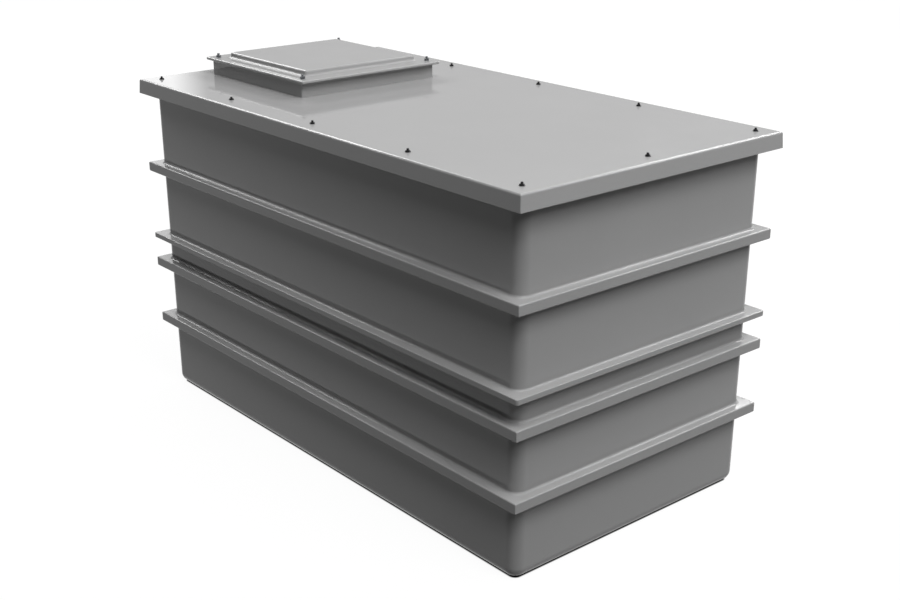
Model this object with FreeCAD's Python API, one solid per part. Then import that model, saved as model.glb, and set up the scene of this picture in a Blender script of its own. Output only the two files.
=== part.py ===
import FreeCAD, Part
import math
import os

# A one-piece rectangular storage tank in glass-reinforced plastic, with four moulded ribs
# round its body, a flat bolted lid and a raised square access hatch near one end.
# X runs along the tank with the hatch at the -X end, Y across it, Z up.
# The origin is the centre of the underside, which stands on the floor.

# Body, measured on its outside at the rim
body_length = 1920.0
body_width = 1000.0
body_height = 1153.0
body_draft = 0.006          # each wall leans out by this share of the height
body_corner_radius = 38.0
body_bottom_radius = 36.0
wall_thickness = 6.0
floor_thickness = 8.0

# Rim flange turned in over the top of the walls, which carries the lid
rim_width = 60.0
rim_thickness = 8.0
rim_opening_radius = 25.0

# Thick ribs, each with its underside height
rib_heights = {"lower_rib": 245.0, "middle_rib": 466.0, "upper_rib": 830.0}
rib_depth = 34.0
rib_reach = 31.0
rib_corner_radius = 2.0
rib_edge_radius = 4.0
rib_cove = 8.0

# Thin rib between the middle and the upper one
thin_rib_height = 577.0
thin_rib_depth = 18.0
thin_rib_reach = 33.0
thin_rib_corner_radius = 8.0
thin_rib_edge_radius = 2.5
thin_rib_cove = 6.0

# Lid: a flat panel with a turned-down lip that flares outwards
lid_overhang = 40.0         # the lip's foot stands this far outside the body's rim
lid_drop = 50.0
lid_flare = 3.0
lid_thickness = 6.0
lid_corner_radius = 3.0
lid_inside_radius = 3.0
lid_edge_radius = 7.0

# Lid bolts along the four sides, set in from the rim's outer edge
lid_bolt_inset = 21.0
lid_bolts_along = 5
lid_bolts_across = 3
bolt_diameter = 8.0
bolt_hole_clearance = 0.5
bolt_head_across_flats = 13.0
bolt_head_height = 5.3
bolt_tip = 5.5
tip_chamfer = 1.0
nut_across_flats = 13.0
nut_height = 5.0
nut_flange_diameter = 18.0
nut_flange_height = 1.5
nut_top_diameter = 12.4

# Hatch neck: a square upstand with a flat flange at its top
neck_end_gap = 64.0         # from the lid's end to the neck's flange
neck_length = 568.0
neck_width = 566.0
neck_rise = 50.0
neck_wall = 6.0
neck_corner_radius = 4.0
neck_flange_over_ends = 25.0
neck_flange_over_sides = 13.0
neck_flange_inside = 30.0
neck_flange_thickness = 5.0
neck_flange_corner_radius = 6.0
neck_flange_edge_radius = 3.5

# Hatch cover: a brim on the flange and a raised panel
brim_thickness = 5.0
brim_edge_radius = 4.0
panel_margin_ends = 68.0
panel_margin_sides = 60.0
panel_rise = 19.0
panel_draft = 1.0
panel_corner_radius = 8.0
panel_edge_radius = 7.0
panel_cove = 8.0
cover_skin = 4.0

# Hatch studs and nuts, set in from the outer faces of the neck
stud_inset = 15.5
stud_diameter = 10.0
stud_tip = 7.0
stud_head_across_flats = 15.0
stud_head_height = 6.4
hatch_nut_across_flats = 15.0
hatch_nut_height = 8.0
hatch_nut_flange_diameter = 20.0
hatch_nut_flange_height = 2.0
hatch_nut_top_diameter = 14.4

# Slack used when edges are picked out by their place
pick_slack = 0.1

# Sizes and levels that follow from the ones above
lid_length = body_length + 2.0 * lid_overhang
lid_width = body_width + 2.0 * lid_overhang
neck_centre_x = neck_end_gap + neck_flange_over_ends + neck_length / 2.0 - lid_length / 2.0
rim_top = body_height + rim_thickness
lid_top = rim_top + lid_thickness
lid_lip_bottom = lid_top - lid_drop
neck_flange_bottom = lid_top + neck_rise
neck_flange_top = neck_flange_bottom + neck_flange_thickness
brim_top = neck_flange_top + brim_thickness
cover_top = brim_top + panel_rise


def plate(corners):
    """Flat face with straight edges through the corners, in order."""
    return Part.Face(Part.makePolygon(corners + corners[:1]))


def block(length, width, radius, z0, z1, grow=0.0, x=0.0, y=0.0):
    """Block from z0 to z1 with rounded upright corners, each side further out by grow at the top."""
    a = length / 2.0
    b = width / 2.0
    signs = [(-1, -1), (1, -1), (1, 1), (-1, 1)]
    foot = [FreeCAD.Vector(x + sx * a, y + sy * b, z0) for sx, sy in signs]
    top = [FreeCAD.Vector(x + sx * (a + grow), y + sy * (b + grow), z1) for sx, sy in signs]
    sides = [plate([foot[i - 1], foot[i], top[i], top[i - 1]]) for i in range(4)]
    solid = Part.Solid(Part.Shell([plate(foot[::-1]), plate(top)] + sides))
    upright = [e for e in solid.Edges if e.BoundBox.ZLength > 0.5 * (z1 - z0)]
    return solid.makeFillet(radius, upright)


def edges_at(shape, z):
    """Edges of a shape that lie wholly at height z."""
    return [e for e in shape.Edges if abs(e.BoundBox.ZMin - z) < 1e-4 and abs(e.BoundBox.ZMax - z) < 1e-4]


def edges_within(edges, length, width, x=0.0):
    """Those edges that lie inside a rectangle centred on (x, 0)."""
    a = length / 2.0 + pick_slack
    b = width / 2.0 + pick_slack
    boxes = [(e, e.BoundBox) for e in edges]
    return [e for e, box in boxes if box.XMin > x - a and box.XMax < x + a and box.YMin > -b and box.YMax < b]


def body_size(z):
    """Outside length and width of the leaning body at height z."""
    inset = body_draft * (body_height - z)
    return body_length - 2.0 * inset, body_width - 2.0 * inset


def body_block(z0, z1, offset, radius):
    """Block between z0 and z1 whose sides lean as the body does, offset outwards from it."""
    length, width = body_size(z0)
    return block(length + 2.0 * offset, width + 2.0 * offset, radius, z0, z1, body_draft * (z1 - z0))


def hexagon(across_flats, height, x, y, z):
    """Upright hexagonal prism standing at height z."""
    reach = across_flats / math.sqrt(3.0)
    points = []
    for i in range(7):
        angle = math.radians(60.0 * i)
        points.append(FreeCAD.Vector(x + reach * math.cos(angle), y + reach * math.sin(angle), z))
    return Part.Face(Part.makePolygon(points)).extrude(FreeCAD.Vector(0, 0, height))


def rod(diameter, z0, z1, x, y):
    """Upright round rod from z0 to z1."""
    return Part.makeCylinder(diameter / 2.0, z1 - z0, FreeCAD.Vector(x, y, z0))


def make_body():
    """Open-topped shell with leaning walls, round upright corners and a round bottom edge."""
    outside = body_block(0.0, body_height, 0.0, body_corner_radius)
    outside = outside.makeFillet(body_bottom_radius, edges_at(outside, 0.0))
    inside = body_block(floor_thickness, body_height, -wall_thickness, body_corner_radius - wall_thickness)
    inside = inside.makeFillet(body_bottom_radius - floor_thickness, edges_at(inside, floor_thickness))
    return outside.cut(inside)


def make_rim():
    """Flat ring on top of the walls, turned inwards, drilled for the lid bolts."""
    ring = block(body_length, body_width, body_corner_radius, body_height, rim_top)
    opening_length = body_length - 2.0 * rim_width
    opening_width = body_width - 2.0 * rim_width
    ring = ring.cut(block(opening_length, opening_width, rim_opening_radius, body_height, rim_top))
    return ring.cut(Part.makeCompound(bolt_holes(body_height, rim_top)))


def make_rib(bottom, depth, reach, corner_radius, edge_radius, cove):
    """Rib bonded round the body, with rounded outer edges and a hollow fillet up onto the wall."""
    top = bottom + depth
    rib = body_block(bottom, top, reach, corner_radius)
    rib = rib.makeFillet(edge_radius, edges_at(rib, bottom) + edges_at(rib, top))
    wall = body_block(0.0, body_height, 0.0, body_corner_radius)
    joined = wall.fuse(rib)
    junction = edges_within(edges_at(joined, top), *body_size(top))
    return joined.makeFillet(cove, junction).cut(wall).removeSplitter()


def lid_bolt_places():
    """Centres of the lid bolts: evenly spaced along each side, with shared corners."""
    reach_x = body_length / 2.0 - lid_bolt_inset
    reach_y = body_width / 2.0 - lid_bolt_inset
    places = []
    for i in range(lid_bolts_along):
        x = -reach_x + 2.0 * reach_x * i / (lid_bolts_along - 1)
        places.append((x, -reach_y))
        places.append((x, reach_y))
    for i in range(1, lid_bolts_across - 1):
        y = -reach_y + 2.0 * reach_y * i / (lid_bolts_across - 1)
        places.append((-reach_x, y))
        places.append((reach_x, y))
    return places


def bolt_holes(z0, z1):
    """Drills for the lid bolts between two heights."""
    hole = bolt_diameter + 2.0 * bolt_hole_clearance
    return [rod(hole, z0, z1, x, y) for x, y in lid_bolt_places()]


def make_lid():
    """Flat panel with a rounded top edge and a flared, turned-down lip, open over the hatch neck."""
    outside = block(lid_length, lid_width, lid_corner_radius, lid_lip_bottom, lid_top, -lid_flare)
    outside = outside.makeFillet(lid_edge_radius, edges_at(outside, lid_top))
    depth = lid_drop - lid_thickness
    inside_flare = lid_flare * depth / lid_drop
    inside = block(lid_length - 2.0 * lid_thickness, lid_width - 2.0 * lid_thickness,
                   lid_inside_radius, lid_lip_bottom, lid_lip_bottom + depth, -inside_flare)
    lid = outside.cut(inside)
    throat = block(neck_length - 2.0 * neck_wall, neck_width - 2.0 * neck_wall, neck_corner_radius,
                   rim_top, lid_top, 0.0, neck_centre_x)
    return lid.cut(throat).cut(Part.makeCompound(bolt_holes(rim_top, lid_top)))


def stud_places():
    """Centres of the four hatch studs, near the corners of the neck."""
    reach_x = neck_length / 2.0 - stud_inset
    reach_y = neck_width / 2.0 - stud_inset
    signs = [(1, -1), (1, 1), (-1, 1), (-1, -1)]
    return [(neck_centre_x + sx * reach_x, sy * reach_y) for sx, sy in signs]


def stud_holes(z0, z1):
    """Drills for the hatch studs between two heights."""
    hole = stud_diameter + 2.0 * bolt_hole_clearance
    return [rod(hole, z0, z1, x, y) for x, y in stud_places()]


def flange_block(z0, z1):
    """Flat plate over the neck's whole flange."""
    length = neck_length + 2.0 * neck_flange_over_ends
    width = neck_width + 2.0 * neck_flange_over_sides
    return block(length, width, neck_flange_corner_radius, z0, z1, 0.0, neck_centre_x)


def make_neck():
    """Square upstand on the lid with a flat flange that reaches outwards and inwards."""
    walls = block(neck_length, neck_width, neck_corner_radius, lid_top, neck_flange_bottom, 0.0, neck_centre_x)
    hollow = block(neck_length - 2.0 * neck_wall, neck_width - 2.0 * neck_wall, neck_corner_radius,
                   lid_top, neck_flange_bottom, 0.0, neck_centre_x)
    flange = flange_block(neck_flange_bottom, neck_flange_top)
    flange = flange.makeFillet(neck_flange_edge_radius, edges_at(flange, neck_flange_bottom))
    opening = block(neck_length - 2.0 * neck_flange_inside, neck_width - 2.0 * neck_flange_inside,
                    neck_corner_radius, neck_flange_bottom, neck_flange_top, 0.0, neck_centre_x)
    neck = walls.cut(hollow).fuse(flange.cut(opening))
    return neck.cut(Part.makeCompound(stud_holes(neck_flange_bottom, neck_flange_top))).removeSplitter()


def make_cover():
    """Thin moulded cover: a flat brim and a raised hollow panel with a hollow fillet at its foot."""
    length = neck_length + 2.0 * (neck_flange_over_ends - panel_margin_ends)
    width = neck_width + 2.0 * (neck_flange_over_sides - panel_margin_sides)
    brim = flange_block(neck_flange_top, brim_top)
    brim = brim.makeFillet(brim_edge_radius, edges_at(brim, brim_top))
    panel = block(length, width, panel_corner_radius, brim_top, cover_top, -panel_draft, neck_centre_x)
    panel = panel.makeFillet(panel_edge_radius, edges_at(panel, cover_top))
    cover = brim.fuse(panel)
    foot = edges_within(edges_at(cover, brim_top), length, width, neck_centre_x)
    cover = cover.makeFillet(panel_cove, foot)
    hollow = block(length - 2.0 * cover_skin, width - 2.0 * cover_skin, panel_corner_radius - cover_skin,
                   neck_flange_top, cover_top - cover_skin, -panel_draft, neck_centre_x)
    cover = cover.cut(hollow)
    return cover.cut(Part.makeCompound(stud_holes(neck_flange_top, brim_top))).removeSplitter()


def make_bolt(x, y):
    """Hexagon bolt pushed up through the rim flange and the lid."""
    head = hexagon(bolt_head_across_flats, bolt_head_height, x, y, body_height - bolt_head_height)
    tip = lid_top + nut_height + bolt_tip
    shank = rod(bolt_diameter, body_height, tip, x, y)
    shank = shank.makeChamfer(tip_chamfer, edges_at(shank, tip))
    return head.fuse(shank).removeSplitter()


def flanged_nut(bore, across_flats, height, flange_diameter, flange_height, top_diameter, x, y, z):
    """Hexagon nut with a round flange at its foot, its top edge turned to a cone."""
    base = rod(flange_diameter, z, z + flange_height, x, y)
    prism = hexagon(across_flats, height, x, y, z)
    top_radius = top_diameter / 2.0
    cone = Part.makeCone(top_radius + height, top_radius, height, FreeCAD.Vector(x, y, z))
    nut = prism.common(cone).fuse(base)
    return nut.cut(rod(bore, z, z + height, x, y)).removeSplitter()


def make_lid_nut(x, y):
    """Nut that holds the lid down on the rim."""
    return flanged_nut(bolt_diameter, nut_across_flats, nut_height, nut_flange_diameter, nut_flange_height,
                       nut_top_diameter, x, y, lid_top)


def make_stud(x, y):
    """Hexagon-headed stud through the neck's flange and the brim."""
    head = hexagon(stud_head_across_flats, stud_head_height, x, y, neck_flange_bottom - stud_head_height)
    tip = brim_top + hatch_nut_height + stud_tip
    shank = rod(stud_diameter, neck_flange_bottom, tip, x, y)
    shank = shank.makeChamfer(tip_chamfer, edges_at(shank, tip))
    return head.fuse(shank).removeSplitter()


def make_hatch_nut(x, y):
    """Nut that holds the cover down on the neck's flange."""
    return flanged_nut(stud_diameter, hatch_nut_across_flats, hatch_nut_height, hatch_nut_flange_diameter,
                       hatch_nut_flange_height, hatch_nut_top_diameter, x, y, brim_top)


def save(name, shape):
    """Write one node, as one solid, to its own file."""
    solid = shape.Solids[0]
    if len(shape.Solids) != 1 or not solid.isValid():
        raise ValueError("%s has %d solids, valid %s" % (name, len(shape.Solids), solid.isValid()))
    solid.exportStep("parts/%s.step" % name)
    print("%-18s %10.1f cm3" % (name, solid.Volume / 1000.0))


os.makedirs("parts", exist_ok=True)
save("tank_body", make_body())
save("rim_flange", make_rim())
for rib_name, rib_bottom in rib_heights.items():
    save(rib_name, make_rib(rib_bottom, rib_depth, rib_reach, rib_corner_radius, rib_edge_radius, rib_cove))
save("thin_rib", make_rib(thin_rib_height, thin_rib_depth, thin_rib_reach, thin_rib_corner_radius,
                          thin_rib_edge_radius, thin_rib_cove))
save("lid_panel", make_lid())
save("hatch_neck", make_neck())
save("hatch_cover", make_cover())
for number, (bolt_x, bolt_y) in enumerate(lid_bolt_places(), 1):
    save("lid_bolt_%02d" % number, make_bolt(bolt_x, bolt_y))
    save("lid_nut_%02d" % number, make_lid_nut(bolt_x, bolt_y))
for number, (stud_x, stud_y) in enumerate(stud_places(), 1):
    save("hatch_stud_%d" % number, make_stud(stud_x, stud_y))
    save("hatch_nut_%d" % number, make_hatch_nut(stud_x, stud_y))
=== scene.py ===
# %% [markdown]
# # Dressing a water storage tank
#
# The tank is a one-piece box of glass-reinforced plastic with four moulded ribs, a bolted lid and a
# square access hatch. Its solids already have the right form, so this lesson leaves them where they
# are and works on what they lack: the gloss of a sprayed gelcoat, real threads and nuts on the
# fasteners, a studio that shows the curves, and a camera at the photograph's viewpoint. We begin by
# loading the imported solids. Everything is in metres, in the same frame as the solids.

# %% Load the solids
import math

import bpy
import numpy as np
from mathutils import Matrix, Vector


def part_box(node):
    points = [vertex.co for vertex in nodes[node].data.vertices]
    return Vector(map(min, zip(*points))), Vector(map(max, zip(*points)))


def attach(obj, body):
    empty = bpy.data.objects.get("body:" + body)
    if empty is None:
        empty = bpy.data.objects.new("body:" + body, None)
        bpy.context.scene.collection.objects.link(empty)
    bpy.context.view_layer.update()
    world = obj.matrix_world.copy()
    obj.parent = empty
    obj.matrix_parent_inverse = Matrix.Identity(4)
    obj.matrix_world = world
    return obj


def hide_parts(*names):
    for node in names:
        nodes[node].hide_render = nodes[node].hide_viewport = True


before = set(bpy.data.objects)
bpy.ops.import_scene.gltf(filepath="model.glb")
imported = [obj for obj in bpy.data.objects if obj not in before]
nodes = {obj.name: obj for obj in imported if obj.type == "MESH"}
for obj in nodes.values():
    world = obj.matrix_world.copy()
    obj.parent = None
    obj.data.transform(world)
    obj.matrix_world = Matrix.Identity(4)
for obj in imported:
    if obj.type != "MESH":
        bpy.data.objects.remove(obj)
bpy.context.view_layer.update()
MM = 0.001

# %% [markdown]
# ## The camera
#
# A photograph's straight edges tell where its camera stood: edges that are parallel on the tank
# meet in vanishing points, and these fix the lens and the turn of the camera. The place then
# follows from the lid's size. One could turn a camera by eye until it looks right, but a solved
# camera is exact, so its numbers are written here as they came out.

# %% Stand the camera at the photograph's viewpoint
TANK_MIDDLE = np.array([0.0, 0.0, 0.6])
CAMERA_PLACE = (3.3614, -2.7698, 2.0778)
CAMERA_TILT = math.radians(69.822)      # from looking straight down
CAMERA_TURN = math.radians(49.771)      # about the vertical, from looking along +Y
CAMERA_LENS = 53.634                    # millimetres, on a sensor of the width below
SENSOR_WIDTH = 36.0

camera = bpy.data.objects.new("camera", bpy.data.cameras.new("camera"))
bpy.context.scene.collection.objects.link(camera)
camera.location = CAMERA_PLACE
camera.rotation_euler = (CAMERA_TILT, 0.0, CAMERA_TURN)
camera.data.sensor_fit = "HORIZONTAL"
camera.data.sensor_width = SENSOR_WIDTH
camera.data.lens = CAMERA_LENS
bpy.context.scene.camera = camera
print("camera stands", round(math.dist(CAMERA_PLACE, TANK_MIDDLE), 2), "m from the tank's middle")

# %% [markdown]
# ## Two small tools
#
# Colours are easiest to judge as the hex values that a paint chart or a picture gives, but shaders
# count in linear light, so one function turns the one into the other. The second function adds a
# shader node: settings go in as keywords, and each input gets either a value or the output of an
# earlier node. With it a whole material reads as a short list.

# %% Colour and node helpers
def linear(hex_colour):
    """sRGB hex to linear RGBA: v/12.92 below 0.04045, otherwise ((v + 0.055) / 1.055) ** 2.4."""
    v = np.array([int(hex_colour[i:i + 2], 16) for i in (1, 3, 5)]) / 255.0
    rgb = np.where(v <= 0.04045, v / 12.92, ((v + 0.055) / 1.055) ** 2.4)
    return (*rgb.tolist(), 1.0)


def add(tree, kind, inputs=None, **settings):
    """Adds a node of that kind. An input's value may be a plain value or another node's output."""
    node = tree.nodes.new(kind)
    for name, value in settings.items():
        setattr(node, name, value)
    for key, value in (inputs or {}).items():
        if isinstance(value, bpy.types.NodeSocket):
            tree.links.new(value, node.inputs[key])
        else:
            node.inputs[key].default_value = value
    return node


def new_material(name):
    """An empty node material with its output, ready for a shader."""
    material = bpy.data.materials.new(name)
    material.use_nodes = True
    material.node_tree.nodes.clear()
    return material, material.node_tree, add(material.node_tree, "ShaderNodeOutputMaterial")


print("mid grey #959595 is", round(linear("#959595")[0], 3), "in linear light")

# %% [markdown]
# ## Gelcoat
#
# The tank is laid up in a mould: first a coat of pigmented polyester, then layers of glass mat and
# resin. What we see is the outer coat, as glossy as the mould was polished. Up close it is never
# perfect. The glass strands print through very faintly, the coat has a slight peel, large panels
# are not quite flat, and handling leaves a thin, uneven haze. A flat grey with a gloss would look
# like a computer picture, so each of these gets a pattern at its real size, kept weak because the
# photograph shows crisp reflections. Fresh polyester has an IOR near 1.5. This coat mirrors the
# white floor less than that, so its IOR came down until the walls matched the photograph.

# %% Polyester gelcoat, sprayed into a polished mould
GELCOAT_IOR = 1.33
TONE_PATCH = 350 * MM
HAZE_PATCH = 120 * MM
RELIEF = [
    # size     height        detail  distortion
    (450 * MM, 0.30 * MM,    1.0,    0.0),      # large panels are not quite flat
    (9 * MM,   0.008 * MM,   2.0,    0.0),      # peel
    (2.5 * MM, 0.0015 * MM,  3.0,    1.5),      # glass strands that print through
]


def gelcoat(name, light_grey, dark_grey, gloss, haze):
    """Grey gelcoat: its tone drifts between two greys and its roughness between gloss and haze, and
    each row of RELIEF tilts the surface a little further."""
    material, tree, output = new_material(name)
    place = add(tree, "ShaderNodeTexCoord").outputs["Object"]
    drift = add(tree, "ShaderNodeTexNoise",
                {"Vector": place, "Scale": 1 / TONE_PATCH, "Detail": 3.0, "Roughness": 0.6})
    tone = add(tree, "ShaderNodeMix",
               {"Factor": drift.outputs["Fac"], "A": linear(dark_grey), "B": linear(light_grey)},
               data_type="RGBA")
    haze_patches = add(tree, "ShaderNodeTexNoise", {"Vector": place, "Scale": 1 / HAZE_PATCH, "Detail": 6.0,
                                                    "Roughness": 0.65, "Distortion": 0.4})
    roughness = add(tree, "ShaderNodeMapRange", {"Value": haze_patches.outputs["Fac"], "From Min": 0.35,
                                                 "From Max": 0.75, "To Min": gloss, "To Max": haze})
    shader = add(tree, "ShaderNodeBsdfPrincipled", {"Base Color": tone.outputs["Result"], "IOR": GELCOAT_IOR,
                                                    "Roughness": roughness.outputs["Result"]})
    tilted = shader
    for size, height, detail, distortion in reversed(RELIEF):
        pattern = add(tree, "ShaderNodeTexNoise", {"Vector": place, "Scale": 1 / size, "Detail": detail,
                                                   "Distortion": distortion})
        bump = add(tree, "ShaderNodeBump",
                   {"Height": pattern.outputs["Fac"], "Strength": 1.0, "Distance": height})
        tree.links.new(bump.outputs["Normal"], tilted.inputs["Normal"])
        tilted = bump
    tree.links.new(shader.outputs["BSDF"], output.inputs["Surface"])
    return material


shell_gelcoat = gelcoat("polyester_gelcoat_shell", "#989898", "#929292", 0.06, 0.16)
lid_gelcoat = gelcoat("polyester_gelcoat_lid", "#989898", "#939393", 0.04, 0.12)
for name in ("tank_body", "rim_flange", "lower_rib", "middle_rib", "thin_rib", "upper_rib"):
    nodes[name].material_slots[0].material = shell_gelcoat
for name in ("lid_panel", "hatch_neck", "hatch_cover"):
    nodes[name].material_slots[0].material = lid_gelcoat
coated = [o for o in nodes.values() if o.material_slots[0].material in (shell_gelcoat, lid_gelcoat)]
print("gelcoat on", len(coated), "solids")

# %% [markdown]
# ## Steel
#
# The lid's nuts and bolts are blackened steel, dark and slightly satin where the oxide is thick and
# a little lighter where a spanner has rubbed. The hatch's nuts are plain zinc-plated steel that
# has gone dull. Both are metals, so their colour tints the reflection, and the IOR stays at
# its default. Fine turning marks run round the axis of each fastener, but the whole fastener is
# only a few millimetres across, so here they are one noise a third of a millimetre coarse.

# %% Blackened and zinc-plated steel
RUBBED_PATCH = 4 * MM
GRAIN = 0.35 * MM
GRAIN_HEIGHT = 0.01 * MM


def fastener_steel(name, deep, rubbed, roughness_low, roughness_high):
    """Satin metal: two tones in patches, and a grain that shows in both roughness and bump."""
    material, tree, output = new_material(name)
    place = add(tree, "ShaderNodeTexCoord").outputs["Object"]
    patches = add(tree, "ShaderNodeTexNoise",
                  {"Vector": place, "Scale": 1 / RUBBED_PATCH, "Detail": 4.0, "Roughness": 0.7})
    tone = add(tree, "ShaderNodeMix",
               {"Factor": patches.outputs["Fac"], "A": linear(deep), "B": linear(rubbed)}, data_type="RGBA")
    grain = add(tree, "ShaderNodeTexNoise", {"Vector": place, "Scale": 1 / GRAIN, "Detail": 2.0})
    roughness = add(tree, "ShaderNodeMapRange",
                    {"Value": grain.outputs["Fac"], "From Min": 0.3, "From Max": 0.7,
                     "To Min": roughness_low, "To Max": roughness_high})
    bump = add(tree, "ShaderNodeBump",
               {"Height": grain.outputs["Fac"], "Strength": 0.6, "Distance": GRAIN_HEIGHT})
    shader = add(tree, "ShaderNodeBsdfPrincipled",
                 {"Base Color": tone.outputs["Result"], "Metallic": 1.0,
                  "Roughness": roughness.outputs["Result"], "Normal": bump.outputs["Normal"]})
    tree.links.new(shader.outputs["BSDF"], output.inputs["Surface"])
    return material


black_steel = fastener_steel("blackened_steel", "#1c1c1d", "#343435", 0.38, 0.55)
zinc_steel = fastener_steel("dull_zinc_plate", "#4b4c4e", "#707275", 0.32, 0.5)
print("steels:", black_steel.name, "and", zinc_steel.name)

# %% [markdown]
# ## One skin for every fastener
#
# Bolts and nuts are all bodies that go round an axis, so each can be worked out as a grid of
# points: rows run along the piece and columns run round it. One function lays faces over such a
# grid. Where the piece has two ends they are capped, and where it has a hole through it, as a nut
# has, the rows run up the outside and back down the bore until they meet.

# %% Lay a skin over a grid of points
CRISP_FROM = math.radians(35)           # edges that turn by more than this stay sharp


def skin(points, has_bore=False):
    """Vertices and faces of a grid, rows x columns x 3. Each face joins a point to its right and
    upper neighbours."""
    rows, columns = points.shape[:2]
    here = np.arange(rows * columns).reshape(rows, columns)
    right = np.roll(here, -1, axis=1)
    faces = np.stack([here, right, np.roll(right, -1, axis=0), np.roll(here, -1, axis=0)], axis=-1)
    if has_bore:
        return points.reshape(-1, 3), faces.reshape(-1, 4).tolist()
    caps = [here[0, ::-1].tolist(), here[-1].tolist()]
    return points.reshape(-1, 3), faces[:-1].reshape(-1, 4).tolist() + caps


def make_piece(name, grid_skin, material, stands_for):
    """Makes one smooth mesh with crisp corners from a skin, in place of one CAD node."""
    vertices, faces = grid_skin
    mesh = bpy.data.meshes.new(name)
    mesh.from_pydata(vertices.tolist(), [], faces)
    mesh.polygons.foreach_set("use_smooth", [True] * len(mesh.polygons))
    mesh.set_sharp_from_angle(angle=CRISP_FROM)
    mesh.materials.append(material)
    piece = bpy.data.objects.new(name, mesh)
    bpy.context.scene.collection.objects.link(piece)
    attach(piece, "root")
    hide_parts(stands_for)
    return piece


# %% [markdown]
# ## Turned, hexagonal and threaded
#
# A nut starts as a bar that is turned to a profile and then has six flats cut on it. In numbers
# that is the smaller of two distances from the axis: the turned radius, and the distance to the
# flat. The curved chamfer lines on a real nut's corners come out of that by themselves. A thread is
# a radius that rises and falls with height, shifted by one pitch for each turn round the axis.

# %% Grids for turned fasteners
def turned(radius, height, centre, flats=None, across_flats=0.0, columns=48):
    """Grid of a turned bar, radius by row. Rows in flats also stay within a hexagon, whose side is
    half the width across flats over the cosine of the angle from the flat's middle."""
    angle = np.arange(columns) * 2 * np.pi / columns
    reach = np.repeat(np.asarray(radius, float)[:, None], columns, axis=1)
    if flats is not None:
        from_middle = np.mod(angle, np.pi / 3) - np.pi / 6
        side = across_flats / 2 / np.cos(from_middle)
        reach = np.where(np.asarray(flats)[:, None], np.minimum(reach, side), reach)
    return np.stack([centre[0] + reach * np.cos(angle), centre[1] + reach * np.sin(angle),
                     np.repeat(np.asarray(height, float)[:, None], columns, axis=1)], axis=-1)


def cut_thread(grid, centre, rows, pitch, depth):
    """Moves rows inwards by depth times a triangle wave of (height / pitch - turn), which is a V thread."""
    x, y = grid[rows, :, 0] - centre[0], grid[rows, :, 1] - centre[1]
    turn = np.arctan2(y, x) / (2 * np.pi)
    wave = np.abs(2 * np.mod(grid[rows, :, 2] / pitch - turn, 1.0) - 1.0)
    shrink = 1.0 - depth * wave / np.hypot(x, y)
    grid[rows, :, 0] = centre[0] + x * shrink
    grid[rows, :, 1] = centre[1] + y * shrink
    return grid


# %% [markdown]
# ## Bolts, studs and nuts
#
# Twelve M8 bolts come up through the rim and the lid, and four M10 studs hold the hatch cover down.
# Each has a flanged nut, whose wide foot spreads the load on the laminate. Only a few turns of
# thread stand above a nut, so only those rows are threaded and the rest of the shank stays plain.

# %% Threaded bolts and studs
FIT = 0.03 * MM                         # keeps the thread just clear of the nut
ROWS_PER_TURN = 10
#          radius   pitch      depth      across flats  head height
M8 = np.array([4.0,  1.25,      0.65,      13.0,         5.3]) * MM
M10 = np.array([5.0, 1.50,      0.80,      15.0,         6.4]) * MM


def threaded_bolt(node, thread, threaded_length):
    """Grid of a bolt in the CAD node's box: hexagon head at the foot, plain shank, thread and
    chamfered tip."""
    low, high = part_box(node)
    centre = ((low.x + high.x) / 2, (low.y + high.y) / 2)
    radius, pitch, depth, flats_apart, head_height = thread
    shank = radius - FIT
    corner = flats_apart / 2 / math.cos(math.pi / 6)
    chamfer = 0.9 * MM
    turns = np.arange(high.z - threaded_length, high.z - chamfer, pitch / ROWS_PER_TURN)
    head_z = np.array([0.0, 0.4 * MM, 1.0 * MM, head_height, head_height])
    head_r = np.array([flats_apart / 2 * 0.93, flats_apart / 2, corner, corner, shank])
    height = np.concatenate([low.z + head_z, turns, [high.z - chamfer * 0.5, high.z]])
    radii = np.concatenate([head_r, np.full(len(turns), shank), [shank - 0.4 * MM, shank - chamfer]])
    flats = np.arange(len(height)) < 4
    grid = turned(radii, height, centre, flats, flats_apart, columns=36)
    return cut_thread(grid, centre, slice(6, 5 + len(turns)), pitch, depth)


for name in sorted(n for n in nodes if n.startswith("lid_bolt")):
    grid = threaded_bolt(name, M8, 7 * MM)
    make_piece("threaded_" + name, skin(grid), black_steel, name)
for name in sorted(n for n in nodes if n.startswith("hatch_stud")):
    grid = threaded_bolt(name, M10, 8 * MM)
    make_piece("threaded_" + name, skin(grid), zinc_steel, name)


# %% Flanged nuts
def flanged_nut(node, thread):
    """Grid of a nut with a sloping flange: up the outside, over the chamfered top, down the bore."""
    low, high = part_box(node)
    centre = ((low.x + high.x) / 2, (low.y + high.y) / 2)
    foot = (high.x - low.x) / 2
    tall = high.z - low.z
    bore = thread[0] + FIT
    flat = thread[3] / 2
    #           radius                height               hexagonal
    profile = [(foot - 0.5 * MM,      0.0,                 False),
               (foot - 0.1 * MM,      0.25 * MM,           False),
               (foot,                 0.6 * MM,            False),
               (foot - 0.25 * MM,     0.9 * MM,            False),
               (flat + 1.0 * MM,      1.7 * MM,            False),
               (flat * 1.16,          1.9 * MM,            True),
               (flat * 1.16,          tall - 0.9 * MM,     True),
               (flat + 0.5 * MM,      tall - 0.5 * MM,     True),
               (flat,                 tall - 0.2 * MM,     True),
               (flat - 0.35 * MM,     tall,                False),
               (bore + 0.6 * MM,      tall,                False),
               (bore,                 tall - 0.6 * MM,     False),
               (bore,                 0.6 * MM,            False),
               (bore + 0.6 * MM,      0.0,                 False)]
    radius, height, flats = zip(*profile)
    return turned(radius, low.z + np.array(height), centre, flats, thread[3])


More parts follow.
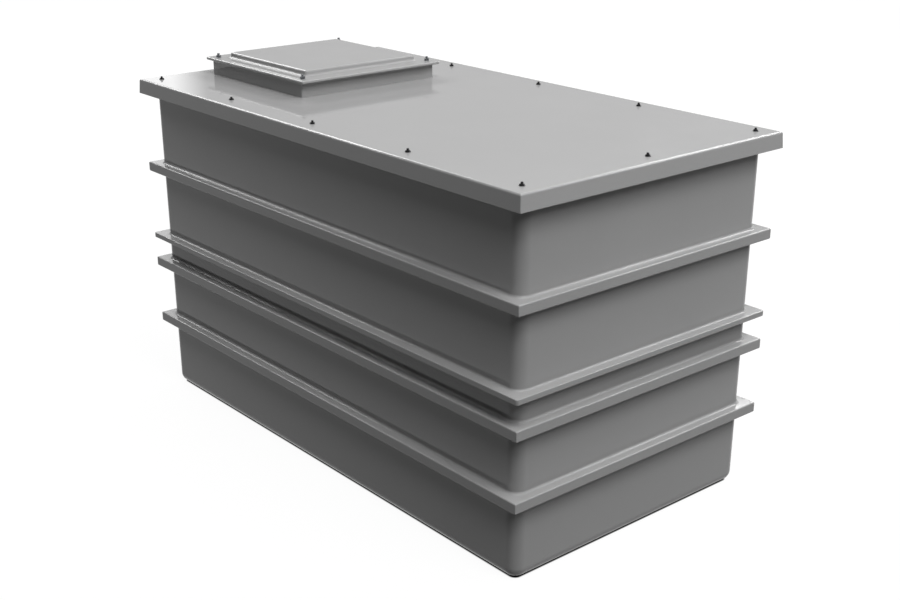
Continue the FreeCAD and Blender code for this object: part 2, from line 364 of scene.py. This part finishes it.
for name in sorted(n for n in nodes if n.startswith("lid_nut")):
    grid = flanged_nut(name, M8)
    make_piece("flanged_" + name, skin(grid, has_bore=True), black_steel, name)
for name in sorted(n for n in nodes if n.startswith("hatch_nut")):
    grid = flanged_nut(name, M10)
    make_piece("flanged_" + name, skin(grid, has_bore=True), zinc_steel, name)

# %% [markdown]
# ## Floor and studio
#
# The photograph is a studio picture on pure white. The floor is plain and pale: it scatters a
# little of the lamps' light, which keeps the tank's soft shadow, and adds its own white only for
# rays that come from the camera, from a gloss or through glass. That white rises with distance, so
# the shadow stays near the tank, and it stops just inside the foot. The missing white there is a
# painted contact shadow, a thin dark line along the foot, seen directly and mirrored in the tank's
# lower curve. The world does the same, with a weak ambient light for everything else. A gloss also
# sees the grey of an unlit studio ceiling from a few degrees above the horizon. The lid is seen at
# a grazing angle and mirrors just that part, and white would wash it out.

# %% Floor
FLOOR_REACH = 60.0
FLOOR_GLOW = 0.95                       # near the tank; it rises to 1
GLOW_NEAR = 2.5                         # metres from the tank's middle
GLOW_FAR = 6.0
# The foot's outline bounds the painted contact shadow: inside it the floor has no white.
FOOT_INSET = 20 * MM                    # from the body's widest point in to the foot's outline
FOOT_RADIUS = 25 * MM                   # of the outline's corners
PAINTED_SHADOW_BLUR = 5 * MM

floor_mesh = bpy.data.meshes.new("floor")
floor_mesh.from_pydata([(-FLOOR_REACH, -FLOOR_REACH, 0), (FLOOR_REACH, -FLOOR_REACH, 0),
                        (FLOOR_REACH, FLOOR_REACH, 0), (-FLOOR_REACH, FLOOR_REACH, 0)], [], [(0, 1, 2, 3)])
floor = bpy.data.objects.new("floor", floor_mesh)
bpy.context.scene.collection.objects.link(floor)


def seen_directly(tree):
    """1 for camera, glossy and transmission rays, otherwise 0."""
    ray = add(tree, "ShaderNodeLightPath").outputs
    either = add(tree, "ShaderNodeMath", {0: ray["Is Camera Ray"], 1: ray["Is Glossy Ray"]},
                 operation="MAXIMUM")
    any_of = add(tree, "ShaderNodeMath", {0: either.outputs[0], 1: ray["Is Transmission Ray"]},
                 operation="MAXIMUM")
    return any_of.outputs[0]


def outside_painted_foot_shadow(tree, place):
    """0 inside the foot's outline, where it paints the floor's contact shadow, 1 outside: the distance
    to a rectangle, which is the length of max(|place| - half size, 0), compared with the radius of the
    outline's corners."""
    body_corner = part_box("tank_body")[1]
    core = (body_corner.x - FOOT_INSET - FOOT_RADIUS, body_corner.y - FOOT_INSET - FOOT_RADIUS, 0.0)
    one_quarter = add(tree, "ShaderNodeVectorMath", {0: place}, operation="ABSOLUTE")
    past_core = add(tree, "ShaderNodeVectorMath", {0: one_quarter.outputs[0], 1: core}, operation="SUBTRACT")
    beside = add(tree, "ShaderNodeVectorMath", {0: past_core.outputs[0], 1: (0, 0, 0)}, operation="MAXIMUM")
    distance = add(tree, "ShaderNodeVectorMath", {0: beside.outputs[0]}, operation="LENGTH")
    edge = add(tree, "ShaderNodeMapRange", {"Value": distance.outputs["Value"], "From Max": FOOT_RADIUS,
                                            "From Min": FOOT_RADIUS - PAINTED_SHADOW_BLUR})
    return edge.outputs["Result"]


paper, tree, output = new_material("matt_white_floor")
place = add(tree, "ShaderNodeTexCoord").outputs["Object"]
from_tank = add(tree, "ShaderNodeVectorMath", {0: place}, operation="LENGTH")
reach = add(tree, "ShaderNodeMapRange", {"Value": from_tank.outputs["Value"], "From Min": GLOW_NEAR,
                                         "From Max": GLOW_FAR, "To Min": FLOOR_GLOW, "To Max": 1.0})
# Painted contact shadow: the floor's white is cut to nothing inside the foot's outline.
level = add(tree, "ShaderNodeMath", {0: outside_painted_foot_shadow(tree, place), 1: reach.outputs["Result"]},
            operation="MULTIPLY")
glow_seen = add(tree, "ShaderNodeMath", {0: seen_directly(tree), 1: level.outputs[0]}, operation="MULTIPLY")
scatter = add(tree, "ShaderNodeBsdfDiffuse", {"Color": linear("#404040")})
glow = add(tree, "ShaderNodeEmission", {"Color": linear("#ffffff"), "Strength": glow_seen.outputs[0]})
both = add(tree, "ShaderNodeAddShader", {0: scatter.outputs[0], 1: glow.outputs[0]})
tree.links.new(both.outputs[0], output.inputs["Surface"])
floor_mesh.materials.append(paper)
print("floor", 2 * FLOOR_REACH, "m square")

# %% World
AMBIENT = 0.01
HORIZON_WHITE = math.radians(5)         # white up to here
CEILING_GREY = math.radians(9)          # grey from here up, for a gloss

world = bpy.data.worlds.new("studio")
bpy.context.scene.world = world
world.use_nodes = True
tree = world.node_tree
tree.nodes.clear()
direction = add(tree, "ShaderNodeTexCoord").outputs["Generated"]
height = add(tree, "ShaderNodeSeparateXYZ", {0: direction}).outputs["Z"]
rise = add(tree, "ShaderNodeMapRange",
           {"Value": height, "From Min": math.sin(HORIZON_WHITE), "From Max": math.sin(CEILING_GREY)})
to_camera = add(tree, "ShaderNodeLightPath").outputs["Is Camera Ray"]
in_a_gloss = add(tree, "ShaderNodeMath", {0: rise.outputs["Result"], 1: to_camera},
                 operation="SUBTRACT", use_clamp=True)
backdrop = add(tree, "ShaderNodeMix",
               {"Factor": in_a_gloss.outputs[0], "A": linear("#ffffff"), "B": linear("#bababa")},
               data_type="RGBA")
seen = add(tree, "ShaderNodeBackground", {"Color": backdrop.outputs["Result"], "Strength": 1.0})
ambient = add(tree, "ShaderNodeBackground", {"Color": linear("#ffffff"), "Strength": AMBIENT})
mix = add(tree, "ShaderNodeMixShader", {0: seen_directly(tree), 1: ambient.outputs[0], 2: seen.outputs[0]})
tree.links.new(mix.outputs[0], add(tree, "ShaderNodeOutputWorld").inputs["Surface"])
bpy.context.scene.view_settings.view_transform = "Standard"
print("ambient light", AMBIENT)

# %% [markdown]
# ## Lamps
#
# Gloss shows a lamp as a picture of itself, so a soft box does two jobs. The two large ones light
# the walls at a plain level: one from the end that faces us, and one from high in front, whose
# light the lid's lip and the ribs cut off in soft shadows. The narrow ones draw the bright lines
# on rounded edges. For such a line a box has to stand where the edge mirrors it, which is far round
# to the side and not very high. The last two stand low at the back, where the ends of the lid and
# of the ribs mirror them, and turn those ends white. The lid mirrors the left one so clearly that
# its side would show as a hard line, so that box fades out towards its sides, as cloth in front of
# a flash does. Each one is given by the direction it lights from, its distance and its size.

# %% Soft boxes
SOFT_BOXES = {
    # name: (azimuth from +X in degrees, elevation, distance, width, height, watts)
    "end_light": (0, 48, 9.0, 5.0, 5.0, 480),
    "high_front": (330, 66, 9.0, 5.0, 5.0, 445),
    "right_edges": (72, 40, 9.0, 6.0, 1.8, 360),
    "left_edges": (176, 36, 9.0, 8.0, 2.4, 450),
    "back_fill": (120, 45, 9.0, 4.0, 4.0, 100),
    "left_end": (163, 15, 9.0, 2.5, 1.6, 18),
    "right_end": (118, 26, 9.0, 2.5, 1.0, 100),
}
SOFT_EDGE = 0.13                        # share of the width over which the left end's box fades out


def soft_box(name, azimuth, elevation, distance, width, height, watts):
    """A rectangular area lamp that faces the tank's middle from a direction and a distance."""
    a = math.radians(azimuth)
    e = math.radians(elevation)
    away = np.array([math.cos(e) * math.cos(a), math.cos(e) * math.sin(a), math.sin(e)])
    lamp = bpy.data.lights.new(name, "AREA")
    lamp.shape = "RECTANGLE"
    lamp.size = width
    lamp.size_y = height
    lamp.energy = watts
    box = bpy.data.objects.new(name, lamp)
    box.location = TANK_MIDDLE + distance * away
    box.rotation_euler = (math.pi / 2 - e, 0.0, a + math.pi / 2)
    box.visible_camera = False
    bpy.context.scene.collection.objects.link(box)
    return box


def fade_sides(lamp, share):
    """Brightness rises from 0 at the left and right edges to full at that share of the width."""
    lamp.use_nodes = True
    tree = lamp.node_tree
    tree.nodes.clear()
    spot = add(tree, "ShaderNodeNewGeometry").outputs["Parametric"]
    across = add(tree, "ShaderNodeSeparateXYZ", {0: spot}).outputs["X"]
    back_across = add(tree, "ShaderNodeMath", {0: 1.0, 1: across}, operation="SUBTRACT")
    from_edge = add(tree, "ShaderNodeMath", {0: across, 1: back_across.outputs[0]}, operation="MINIMUM")
    strength = add(tree, "ShaderNodeMapRange", {"Value": from_edge.outputs[0], "From Max": share})
    shine = add(tree, "ShaderNodeEmission", {"Strength": strength.outputs["Result"]})
    tree.links.new(shine.outputs[0], add(tree, "ShaderNodeOutputLight").inputs["Surface"])


boxes = {name: soft_box(name, *numbers) for name, numbers in SOFT_BOXES.items()}
fade_sides(boxes["left_end"].data, SOFT_EDGE)
print("soft boxes:", ", ".join(boxes))
